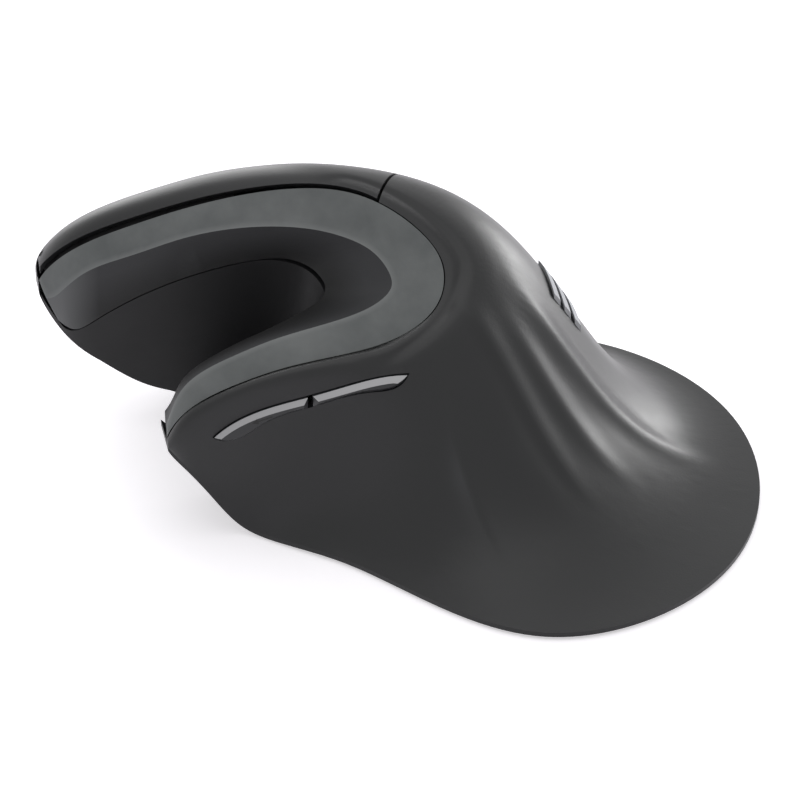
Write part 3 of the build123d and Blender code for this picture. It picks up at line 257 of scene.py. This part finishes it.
def lip_group():
    """The rounded lip beside the grip's closed end, set off from the palm by a shallow groove."""
    front_end, front_fade = 0.016, 0.012
    starts = {"Centre X": 0.005, "Centre Y": 0.009, "Half width": 0.0113, "Half length": 0.0149,
              "Roundness": 1.62, "Groove place": 0.0031, "Groove width": 0.0013}
    tree, takes, gives = group_tree("seam_lip", starts, ("Height",))
    spot = object_spot(tree)
    powers = []
    for axis, centre, half in (("X", "Centre X", "Half width"), ("Y", "Centre Y", "Half length")):
        way = maths(tree, "ABSOLUTE", less(tree, spot[axis], takes[centre]))
        powers.append(maths(tree, "POWER", over(tree, way, takes[half]), takes["Roundness"]))
    ring = maths(tree, "POWER", added(tree, *powers), over(tree, 1.0, takes["Roundness"]))
    off = times(tree, less(tree, ring, 1.0), takes["Half length"])
    groove = bell(tree, over(tree, less(tree, off, takes["Groove place"]), takes["Groove width"]))
    behind = over(tree, less(tree, front_end, spot["Y"]), front_fade, clamp=True)
    tree.links.new(times(tree, times(tree, groove, behind), -1.0), gives["Height"])
    return tree


def arrow_group():
    """An engraved arrow on a side button: a thin bar with a pointed head, as a mask."""
    head_slope = 0.6
    starts = {"Middle Y": 0.0, "Middle Z": 0.0, "Lean": -0.28, "Way": 1.0, "Half length": 0.0019,
              "Half bar": 0.00014, "Head": 0.0011}
    tree, takes, gives = group_tree("arrow_mark", starts, ("Mark",))
    spot = object_spot(tree)
    ahead = less(tree, spot["Y"], takes["Middle Y"])
    upward = less(tree, spot["Z"], takes["Middle Z"])
    level, steep = maths(tree, "COSINE", takes["Lean"]), maths(tree, "SINE", takes["Lean"])
    along = added(tree, times(tree, ahead, level), times(tree, upward, steep))
    aside = maths(tree, "ABSOLUTE", less(tree, times(tree, upward, level), times(tree, ahead, steep)))
    inside = maths(tree, "LESS_THAN", maths(tree, "ABSOLUTE", along), takes["Half length"])
    bar = maths(tree, "LESS_THAN", aside, takes["Half bar"])
    left = less(tree, takes["Half length"], times(tree, along, takes["Way"]))
    head = times(tree, maths(tree, "LESS_THAN", aside, times(tree, left, head_slope)),
                 maths(tree, "LESS_THAN", left, takes["Head"]))
    tree.links.new(times(tree, inside, maths(tree, "MAXIMUM", bar, head)), gives["Mark"])
    return tree


GRAIN = spark_group()
WEAR = wear_group()
ARROW = arrow_group()
PLEAT = pleat_group()
LIP = lip_group()

# Heading and turn in degrees, then where the pleat starts and ends, its rise, drop and depth in millimetres,
# and how strongly its ridge is lightened with a painted highlight.
PLEATS = [(-160, 0, 18, 46, 3.6, 1.1, 0.6, 0.8), (-127, -120, 12, 48, 1.5, 2.6, 0.65, 0.0),
          (-138, 0, 22, 48, 4.0, 2.0, 0.3, 0.2), (-115.5, -120, 20, 52, 2.4, 2.4, 0.55, 0.0),
          (-101, -60, 22, 64, 3.2, 2.4, 0.9, 0.0), (-86, 0, 26, 56, 3.0, 3.0, 0.3, 0.0)]


def palm_folds(tree, shader):
    """The pleats and the lip of the palm, as one height for a Bump node and a painted highlight on the
    ridges.
    """
    lip_depth, ridge_sharpness, ridge_highlight_colour = 0.0005, 4.0, (0.03, 0.0305, 0.033)
    height = times(tree, grouped(tree, LIP)["Height"], lip_depth)
    ridge_highlight = 0.0
    for heading, turn, inner, outer, rise, drop, depth, highlight_share in PLEATS:
        pleat = grouped(tree, PLEAT, Heading=math.radians(heading), Turn=math.radians(turn),
                        Inner=inner / 1000, Outer=outer / 1000, Rise=rise / 1000, Drop=drop / 1000)
        height = added(tree, height, times(tree, pleat["Height"], depth / 1000))
        # Painted highlight: the ridge of the pleat is lightened.
        if highlight_share:
            ridge = maths(tree, "POWER", pleat["Height"], ridge_sharpness)
            ridge_highlight = added(tree, times(tree, ridge, highlight_share), ridge_highlight)
    plain = shader.inputs["Base Color"].links[0].from_socket
    tree.links.new(mixed(tree, ridge_highlight, plain, ridge_highlight_colour), shader.inputs["Base Color"])
    return bumped(tree, shader, height, strength=1.0, distance=1.0)


# The finishes. Colours are linear, sizes in metres.


def moulded(name, colour, worn, rough, grain=2600.0, depth=0.00004, coat=0.0, folds=None, shine=0.35):
    """Moulded plastic or rubber with spark grain, soft clouds of tone and worn edges."""
    tone_spread, rough_spread, smudge_polish, grain_strength, coat_rough = 0.12, 0.05, 0.12, 0.35, 0.35
    material = bpy.data.materials.new(name)
    tree, shader = tree_of(material)
    detail = grouped(tree, GRAIN, Grain_size=grain)
    tone = mixed(tree, detail["Cloud"], shaded(colour, 1 - tone_spread), shaded(colour, 1 + tone_spread))
    tree.links.new(mixed(tree, grouped(tree, WEAR)["Wear"], tone, worn), shader.inputs["Base Color"])
    clouded = ranged(tree, detail["Cloud"], rough - rough_spread, rough + rough_spread)
    polish = less(tree, clouded, times(tree, detail["Smudge"], smudge_polish))
    tree.links.new(polish, shader.inputs["Roughness"])
    before = folds(tree, shader) if folds else None
    bumped(tree, shader, detail["Grain"], grain_strength, depth, before)
    shader.inputs["Specular IOR Level"].default_value = shine
    if coat:
        shader.inputs["Coat Weight"].default_value = coat
        shader.inputs["Coat Roughness"].default_value = coat_rough
    return material


def metal(name, colour, rough):
    """Plated or drawn metal with fine brushing."""
    line_scale, line_detail, line_roughness, line_stretch = 900.0, 2.0, 0.6, (1.0, 1.0, 8.0)
    dark_share, rough_below, rough_above = 0.8, 0.07, 0.1
    line_strength, line_depth = 0.2, 0.00002
    material = bpy.data.materials.new(name)
    tree, shader = tree_of(material)
    shader.inputs["Metallic"].default_value = 1.0
    lines = noise(tree, line_scale, line_detail, line_roughness, line_stretch)
    tree.links.new(mixed(tree, lines, shaded(colour, dark_share), colour), shader.inputs["Base Color"])
    tree.links.new(ranged(tree, lines, rough - rough_below, rough + rough_above), shader.inputs["Roughness"])
    bumped(tree, shader, lines, line_strength, line_depth)
    return material


def clear(name, colour, rough):
    """Clear or smoked moulded plastic."""
    see_through, plastic_ior, grain, dark_share, smudge_rough = 0.85, 1.5, 1500.0, 0.9, 0.1
    material = bpy.data.materials.new(name)
    tree, shader = tree_of(material)
    shader.inputs["Transmission Weight"].default_value = see_through
    shader.inputs["IOR"].default_value = plastic_ior
    detail = grouped(tree, GRAIN, Grain_size=grain)
    tone = mixed(tree, detail["Cloud"], colour, shaded(colour, dark_share))
    tree.links.new(tone, shader.inputs["Base Color"])
    tree.links.new(ranged(tree, detail["Smudge"], rough, rough + smudge_rough), shader.inputs["Roughness"])
    return material


def grip_finish():
    """The grip's soft rubber: a grey band with pale clouds and a painted highlight along the crease, and a
    darker step below it with painted shade towards the recess, lighter towards the nose tip.
    """
    band_dark, band_pale, crease_highlight_colour = (0.096, 0.103, 0.104), (0.15, 0.158, 0.158), (0.21, 0.218, 0.218)
    step_colour, step_recess_shade, step_tip = (0.036, 0.0365, 0.039), (0.012, 0.012, 0.0125), (0.15, 0.154, 0.157)
    worn_colour = (0.12, 0.125, 0.13)
    cloud_low, cloud_high = 0.36, 0.66
    crease_half_width, crease_highlight_share = 0.0011, 0.6
    tip_start, tip_end, tip_share = 0.053, 0.0595, 0.8
    rough_low, rough_high, grain_strength, grain_depth, shine = 0.55, 0.68, 0.4, 0.00005, 0.3
    material = bpy.data.materials.new("grip_band_rubber")
    tree, shader = tree_of(material)
    detail = grouped(tree, GRAIN, Grain_size=3000.0, Cloud_size=75.0)
    band = mixed(tree, strengthened(tree, detail["Cloud"], cloud_low, cloud_high), band_dark, band_pale)
    # Painted highlight: a light line along the crease between band and step.
    off_crease = over(tree, attribute(tree, "crease_off"), crease_half_width)
    crease = maths(tree, "SUBTRACT", 1.0, off_crease, clamp=True)
    band = mixed(tree, times(tree, crease, crease_highlight_share), band, crease_highlight_colour)
    # Painted shade: the step darkens towards the recess, and it turns lighter towards the nose tip.
    step = mixed(tree, attribute(tree, "recess_shade"), step_colour, step_recess_shade)
    tip = times(tree, strengthened(tree, object_spot(tree)["Y"], tip_start, tip_end), tip_share)
    step = mixed(tree, tip, step, step_tip)
    tone = mixed(tree, attribute(tree, "step_share"), band, step)
    worn = mixed(tree, grouped(tree, WEAR)["Wear"], tone, worn_colour)
    tree.links.new(worn, shader.inputs["Base Color"])
    tree.links.new(ranged(tree, detail["Cloud"], rough_low, rough_high), shader.inputs["Roughness"])
    bumped(tree, shader, detail["Grain"], grain_strength, grain_depth)
    shader.inputs["Specular IOR Level"].default_value = shine
    return material


def button_finish():
    """Satin plastic of the side buttons, with a painted highlight on the facet along the top and engraved
    arrows.
    """
    facet_highlight_colour, engraved_colour = (0.42, 0.42, 0.43), (0.003, 0.003, 0.003)
    material = moulded("button_satin", (0.024, 0.025, 0.027), (0.07, 0.07, 0.075), 0.25,
                       grain=3600.0, depth=0.00002)
    tree = material.node_tree
    shader = next(node for node in tree.nodes if node.type == "BSDF_PRINCIPLED")
    plain = shader.inputs["Base Color"].links[0].from_socket
    # Painted highlight: the upward-leaning facet is coloured pale.
    facet_highlighted = mixed(tree, attribute(tree, "facet_highlight"), plain, facet_highlight_colour)
    forward = grouped(tree, ARROW, Middle_Y=0.0295, Middle_Z=0.0277, Way=1.0)
    backward = grouped(tree, ARROW, Middle_Y=0.0128, Middle_Z=0.0312, Lean=-0.18, Way=-1.0)
    arrows = maths(tree, "MAXIMUM", forward["Mark"], backward["Mark"])
    tree.links.new(mixed(tree, arrows, facet_highlighted, engraved_colour), shader.inputs["Base Color"])
    return material


# Name, colour, worn colour and roughness of each finish, by the slot that the pieces name.
FINISH = {
    "shell_plastic": moulded("shell_soft_touch", (0.0125, 0.0128, 0.0138), (0.045, 0.046, 0.05), 0.42,
                             folds=palm_folds),
    "button_plastic": button_finish(),
    "grip_rubber": grip_finish(),
    # The valley liner is darker than the step mostly as painted shade of the deep recess; the gap lip below
    # uses it too.
    "liner_plastic": moulded("valley_matte_painted_shade", (0.006, 0.006, 0.007), (0.015, 0.015, 0.017), 0.6),
    "strip_rubber": moulded("strip_rubber_ribs", (0.5, 0.51, 0.53), (0.55, 0.55, 0.57), 0.8, shine=0.05),
    "tyre_rubber": moulded("tyre_ribbed", (0.022, 0.022, 0.024), (0.06, 0.06, 0.06), 0.6),
    "wheel_plastic": moulded("wheel_hub_satin", (0.14, 0.14, 0.15), (0.25, 0.25, 0.26), 0.3, coat=0.3),
    "frame_plastic": moulded("base_spark", (0.02, 0.02, 0.022), (0.05, 0.05, 0.055), 0.55,
                             grain=1500.0, depth=0.00008),
    "switch_plastic": moulded("switch_case", (0.02, 0.02, 0.022), (0.06, 0.06, 0.06), 0.4, coat=0.2),
    "plunger_plastic": moulded("plunger_red", (0.55, 0.08, 0.06), (0.7, 0.2, 0.15), 0.35),
    "board_laminate": moulded("board_green_mask", (0.012, 0.1, 0.045), (0.03, 0.16, 0.08), 0.3, coat=0.5),
    "chip_plastic": moulded("chip_moulding", (0.015, 0.015, 0.017), (0.05, 0.05, 0.05), 0.45),
    "socket_plastic": moulded("socket_cream", (0.7, 0.66, 0.56), (0.8, 0.78, 0.7), 0.45),
    "ribbon_film": moulded("ribbon_white_film", (0.62, 0.62, 0.6), (0.7, 0.7, 0.68), 0.35, coat=0.4),
    "lens_clear": clear("lens_smoked", (0.75, 0.78, 0.8), 0.12),
    "steel": metal("zinc_plated_steel", (0.62, 0.62, 0.63), 0.3),
    "cell_label": moulded("cell_jacket", (0.05, 0.16, 0.3), (0.3, 0.35, 0.4), 0.25, coat=0.6),
    "glide_plastic": moulded("glide_pad", (0.03, 0.03, 0.033), (0.08, 0.08, 0.08), 0.35),
}

behaviour = frame["record"]["behaviour"]
slot_of = {piece["node"]: piece["material_slot"] for piece in frame["record"]["subparts"]}
body_of = {node: body for body, members in behaviour["bodies"].items() for node in members}
for name, obj in nodes.items():
    obj.data.materials.clear()
    obj.data.materials.append(FINISH[slot_of[name]])

# Pieces that stand in for CAD nodes.


def merged_bench(node):
    """A bmesh of a CAD node with its loose triangles merged and its own normals kept in a layer."""
    merge_distance = 1e-6
    source = nodes[node].data
    bench = bmesh.new()
    bench.from_mesh(source)
    kept = bench.loops.layers.float_vector.new("kept_normal")
    for face, polygon in zip(bench.faces, source.polygons):
        for loop, corner in zip(face.loops, polygon.loop_indices):
            loop[kept] = source.corner_normals[corner].vector
    bmesh.ops.remove_doubles(bench, verts=bench.verts, dist=merge_distance)
    bench.normal_update()
    return bench


def skin_over(node, name, bench):
    """The piece that stands in for a CAD node, on its body and in its slot."""
    mesh = bpy.data.meshes.new(name)
    bench.to_mesh(mesh)
    bench.free()
    normals = [Vector(item.vector) for item in mesh.attributes["kept_normal"].data]
    for old in ("kept_normal", "custom_normal"):
        if old in mesh.attributes:
            mesh.attributes.remove(mesh.attributes[old])
    mesh.normals_split_custom_set(normals)
    mesh.materials.append(FINISH[slot_of[node]])
    piece = bpy.data.objects.new(name, mesh)
    bpy.context.collection.objects.link(piece)
    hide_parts(node)
    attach(piece, body_of[node])


def smooth_regions(bench, corner):
    """The faces of a mesh in groups that meet each other without an edge sharper than a corner."""
    seen_faces, regions = set(), []
    for first in bench.faces:
        if first in seen_faces:
            continue
        seen_faces.add(first)
        region, waiting = [], [first]
        while waiting:
            face = waiting.pop()
            region.append(face)
            for edge in face.edges:
                if len(edge.link_faces) == 2 and edge.calc_face_angle(0.0) < corner:
                    for other in edge.link_faces:
                        if other not in seen_faces:
                            seen_faces.add(other)
                            waiting.append(other)
        regions.append(region)
    return regions


def off_line(point, line):
    """How far a point is from a line through points in millimetres, in metres."""
    nearest = 1.0
    for first, second in zip(line, line[1:]):
        start, end = Vector(first) / 1000, Vector(second) / 1000
        share = min(1.0, max(0.0, intersect_point_line(point, start, end)[1]))
        nearest = min(nearest, (start.lerp(end, share) - point).length)
    return nearest


# The grip's band and step are one moulding in two tones. The crease between them is a sharp edge of the
# solid, and the step is painted with shade that deepens towards the line of its inner border at the recess,
# given here in millimetres.
RECESS = [(27.2, 60.2, 28.6), (25.6, 57.3, 27.3), (24.6, 53.5, 29.6), (23.0, 46.5, 34.3), (21.0, 38.5, 38.4),
          (18.8, 29.0, 41.8), (17.0, 22.0, 43.1), (15.4, 18.2, 42.9), (14.0, 16.1, 42.2), (11.8, 14.7, 41.2),
          (9.8, 14.4, 40.1), (8.6, 15.6, 38.9), (7.8, 18.2, 37.8), (7.0, 21.5, 36.8), (6.0, 26.0, 35.5),
          (5.2, 30.5, 34.4), (4.4, 35.0, 32.9), (3.8, 39.0, 31.0), (3.4, 42.0, 28.0), (2.8, 44.8, 23.2)]

crease_corner = math.radians(8)
band_height = 0.0425
least_area = 1e-12
darkest_margin, darkening_reach = 1.15, 0.007
marks_per_edge = 3

grip = merged_bench("front_grip")
step_share = grip.faces.layers.float.new("step_share")
crease_off = grip.verts.layers.float.new("crease_off")
recess_shade = grip.verts.layers.float.new("recess_shade")
for region in smooth_regions(grip, crease_corner):
    area = sum(face.calc_area() for face in region)
    moment = sum(face.calc_center_median().z * face.calc_area() for face in region)
    is_band = moment / max(area, least_area) > band_height
    for face in region:
        face[step_share] = 0.0 if is_band else 1.0
creases = [edge for edge in grip.edges if len({face[step_share] for face in edge.link_faces}) == 2]
crease_tree = KDTree(len(creases) * marks_per_edge)
for index, edge in enumerate(creases):
    for part in range(marks_per_edge):
        mark = edge.verts[0].co.lerp(edge.verts[1].co, part / (marks_per_edge - 1))
        crease_tree.insert(mark, index * marks_per_edge + part)
crease_tree.balance()
for vertex in grip.verts:
    vertex[crease_off] = crease_tree.find(vertex.co)[2]
    # Painted shade, strongest at the recess border and fading away from it.
    near = darkest_margin - off_line(vertex.co, RECESS) / darkening_reach
    vertex[recess_shade] = min(1.0, max(0.0, near))
skin_over("front_grip", "grip_band", grip)

# The side buttons have a narrow facet along the top of their outer face, told by how its faces lean, and
# painted with a highlight.
facet_outward, facet_lowest, facet_highest = -0.25, 0.35, 0.97
for node in ("forward_button", "back_button"):
    button = merged_bench(node)
    facet_highlight = button.faces.layers.float.new("facet_highlight")
    for face in button.faces:
        leans = face.normal.x < facet_outward and facet_lowest < face.normal.z < facet_highest
        face[facet_highlight] = 1.0 if leans else 0.0
    skin_over(node, node + "_skin", button)

# The visible wheel is smaller than the solid one, so that it hides behind the ridge as in the picture.
wheel_share = 0.82
spin = next(joint for joint in behaviour["joints"] if joint["name"] == "wheel_spin")
wheel_middle, wheel_way = Vector(spin["pos_m"]), Vector(spin["axis"]).normalized()
for node in ("wheel_tyre", "scroll_wheel"):
    wheel = merged_bench(node)
    for vertex in wheel.verts:
        along = wheel_middle + wheel_way * (vertex.co - wheel_middle).dot(wheel_way)
        vertex.co = along + (vertex.co - along) * wheel_share
    skin_over(node, node + "_skin", wheel)

# A dark inner lip closes the view through the gap below the left cover, and a small plate closes the view
# through the gap at the front of the right cover; both are painted shade, near-black where the gaps fall into
# shade.
# The lip follows the first points of the seam below the cover, each with the point of the crease beside it,
# in millimetres.
# Each corner of the lip's section is given by how deep it lies inside the seam and how high above it.
SEAM = [(29.0, 63.0, 36.6), (28.0, 60.3, 40.6), (26.2, 55.0, 44.9), (24.2, 47.5, 48.7), (22.1, 39.0, 52.2),
        (20.0, 29.0, 55.2), (18.0, 19.0, 56.8)]
CREASE = [(27.2, 62.0, 33.5), (24.6, 59.2, 36.6), (22.6, 55.0, 41.2), (20.4, 47.5, 44.9), (18.0, 39.0, 48.7),
          (15.4, 29.0, 51.3)]
LIP_SECTION = ((2.6, -1.5), (2.8, 4.0), (3.3, 4.0), (3.1, -1.5))
plate_middle, plate_size = Vector((34.5, 58.8, 32.5)) / 1000, Vector((0.6, 3.8, 9.0)) / 1000

gap_shade_lip = bmesh.new()
rows = []
for index, crease in enumerate(CREASE):
    spot = Vector(SEAM[index])
    ahead = (Vector(SEAM[index + 1]) - Vector(SEAM[max(0, index - 1)])).normalized()
    upward = (spot - Vector(crease)).normalized()
    outward = ahead.cross(upward).normalized()
    if outward.x > 0:
        outward = -outward
    rows.append([gap_shade_lip.verts.new((spot - outward * depth + upward * height) / 1000)
                 for depth, height in LIP_SECTION])
for before, after in zip(rows, rows[1:]):
    for side in range(len(LIP_SECTION)):
        beside = (side + 1) % len(LIP_SECTION)
        gap_shade_lip.faces.new((before[side], before[beside], after[beside], after[side]))
gap_shade_lip.faces.new(rows[0])
gap_shade_lip.faces.new(rows[-1])
bmesh.ops.create_cube(gap_shade_lip, size=1.0, matrix=Matrix.LocRotScale(plate_middle, None, plate_size))
bmesh.ops.recalc_face_normals(gap_shade_lip, faces=gap_shade_lip.faces)
lip_mesh = bpy.data.meshes.new("gap_shade_lip")
gap_shade_lip.to_mesh(lip_mesh)
gap_shade_lip.free()
lip_mesh.materials.append(FINISH["liner_plastic"])
lip = bpy.data.objects.new("gap_shade_lip", lip_mesh)
bpy.context.collection.objects.link(lip)
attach(lip, "chassis")

# Floor, backdrop, lamps and camera.


def seen(tree):
    """One where a ray comes from the camera, a mirror or glass, and zero for soft light."""
    path = tree.nodes.new("ShaderNodeLightPath")
    either = maths(tree, "MAXIMUM", path.outputs["Is Camera Ray"], path.outputs["Is Glossy Ray"])
    return maths(tree, "MAXIMUM", either, path.outputs["Is Transmission Ray"])


def pale_floor():
    """Matte white paper that looks white around the object and keeps its soft shadow."""
    paper_dark, paper_pale, glow_colour = (0.86, 0.845, 0.885), (0.9, 0.885, 0.92), (1.0, 0.985, 1.0, 1.0)
    fibre_scale, fibre_detail, paper_rough, glow = 300.0, 2.0, 0.9, 0.5
    material = bpy.data.materials.new("pale_paper")
    tree, shader = tree_of(material)
    shader.inputs["Roughness"].default_value = paper_rough
    shader.inputs["Specular IOR Level"].default_value = 0.0
    fibre = noise(tree, fibre_scale, fibre_detail)
    tree.links.new(mixed(tree, fibre, paper_dark, paper_pale), shader.inputs["Base Color"])
    shader.inputs["Emission Color"].default_value = glow_colour
    tree.links.new(times(tree, seen(tree), glow), shader.inputs["Emission Strength"])
    return material


floor_half_width = 3.0
floor_bench = bmesh.new()
bmesh.ops.create_grid(floor_bench, x_segments=1, y_segments=1, size=floor_half_width)
floor_mesh = bpy.data.meshes.new("floor")
floor_bench.to_mesh(floor_mesh)
floor_bench.free()
floor = bpy.data.objects.new("floor", floor_mesh)
bpy.context.collection.objects.link(floor)
floor_mesh.materials.append(pale_floor())

soft_light, white = 0.55, 1.0
world = bpy.data.worlds.new("studio")
bpy.context.scene.world = world
world.use_nodes = True
air = world.node_tree
air.nodes.clear()
sky_out = air.nodes.new("ShaderNodeOutputWorld")
sky = air.nodes.new("ShaderNodeBackground")
sky.inputs["Color"].default_value = (1.0, 1.0, 1.0, 1.0)
air.links.new(ranged(air, seen(air), soft_light, white), sky.inputs["Strength"])
air.links.new(sky.outputs[0], sky_out.inputs["Surface"])


def softbox(name, place, target, size, power):
    """A rectangular area lamp aimed at a point, with its power in watts."""
    light = bpy.data.lights.new(name, "AREA")
    light.shape = "RECTANGLE"
    light.size, light.size_y = size
    light.energy = power
    lamp = bpy.data.objects.new(name, light)
    bpy.context.collection.objects.link(lamp)
    lamp.location = place
    lamp.rotation_mode = "QUATERNION"
    lamp.rotation_quaternion = (Vector(target) - Vector(place)).to_track_quat("-Z", "Y")


softbox("overhead_panel", place=(-0.05, 0.05, 0.8), target=(0, 0, 0.02), size=(0.8, 0.8), power=1.5)
softbox("rear_window", place=(0.8, 0.12, 0.32), target=(0, 0, 0.04), size=(0.5, 1.1), power=5.2)
softbox("tail_window", place=(0.45, -0.74, 0.13), target=(0, -0.02, 0.03), size=(0.5, 0.2), power=3.8)

camera_azimuth, camera_elevation, camera_distance = math.radians(-102.0), math.radians(35.0), 0.65
look = Vector((0.00465, 0.00202, 0.018))
lens = bpy.data.cameras.new("photo_camera")
lens.lens = 162.9
lens.sensor_width = 36.0
lens.clip_start = 0.01
lens.clip_end = 20.0
camera = bpy.data.objects.new("photo_camera", lens)
bpy.context.collection.objects.link(camera)
back = Vector((math.sin(camera_azimuth) * math.cos(camera_elevation),
               -math.cos(camera_azimuth) * math.cos(camera_elevation), math.sin(camera_elevation)))
camera.location = look + back * camera_distance
camera.rotation_mode = "QUATERNION"
camera.rotation_quaternion = (-back).to_track_quat("-Z", "Y")
bpy.context.scene.camera = camera
bpy.context.scene.view_settings.view_transform = "Standard"
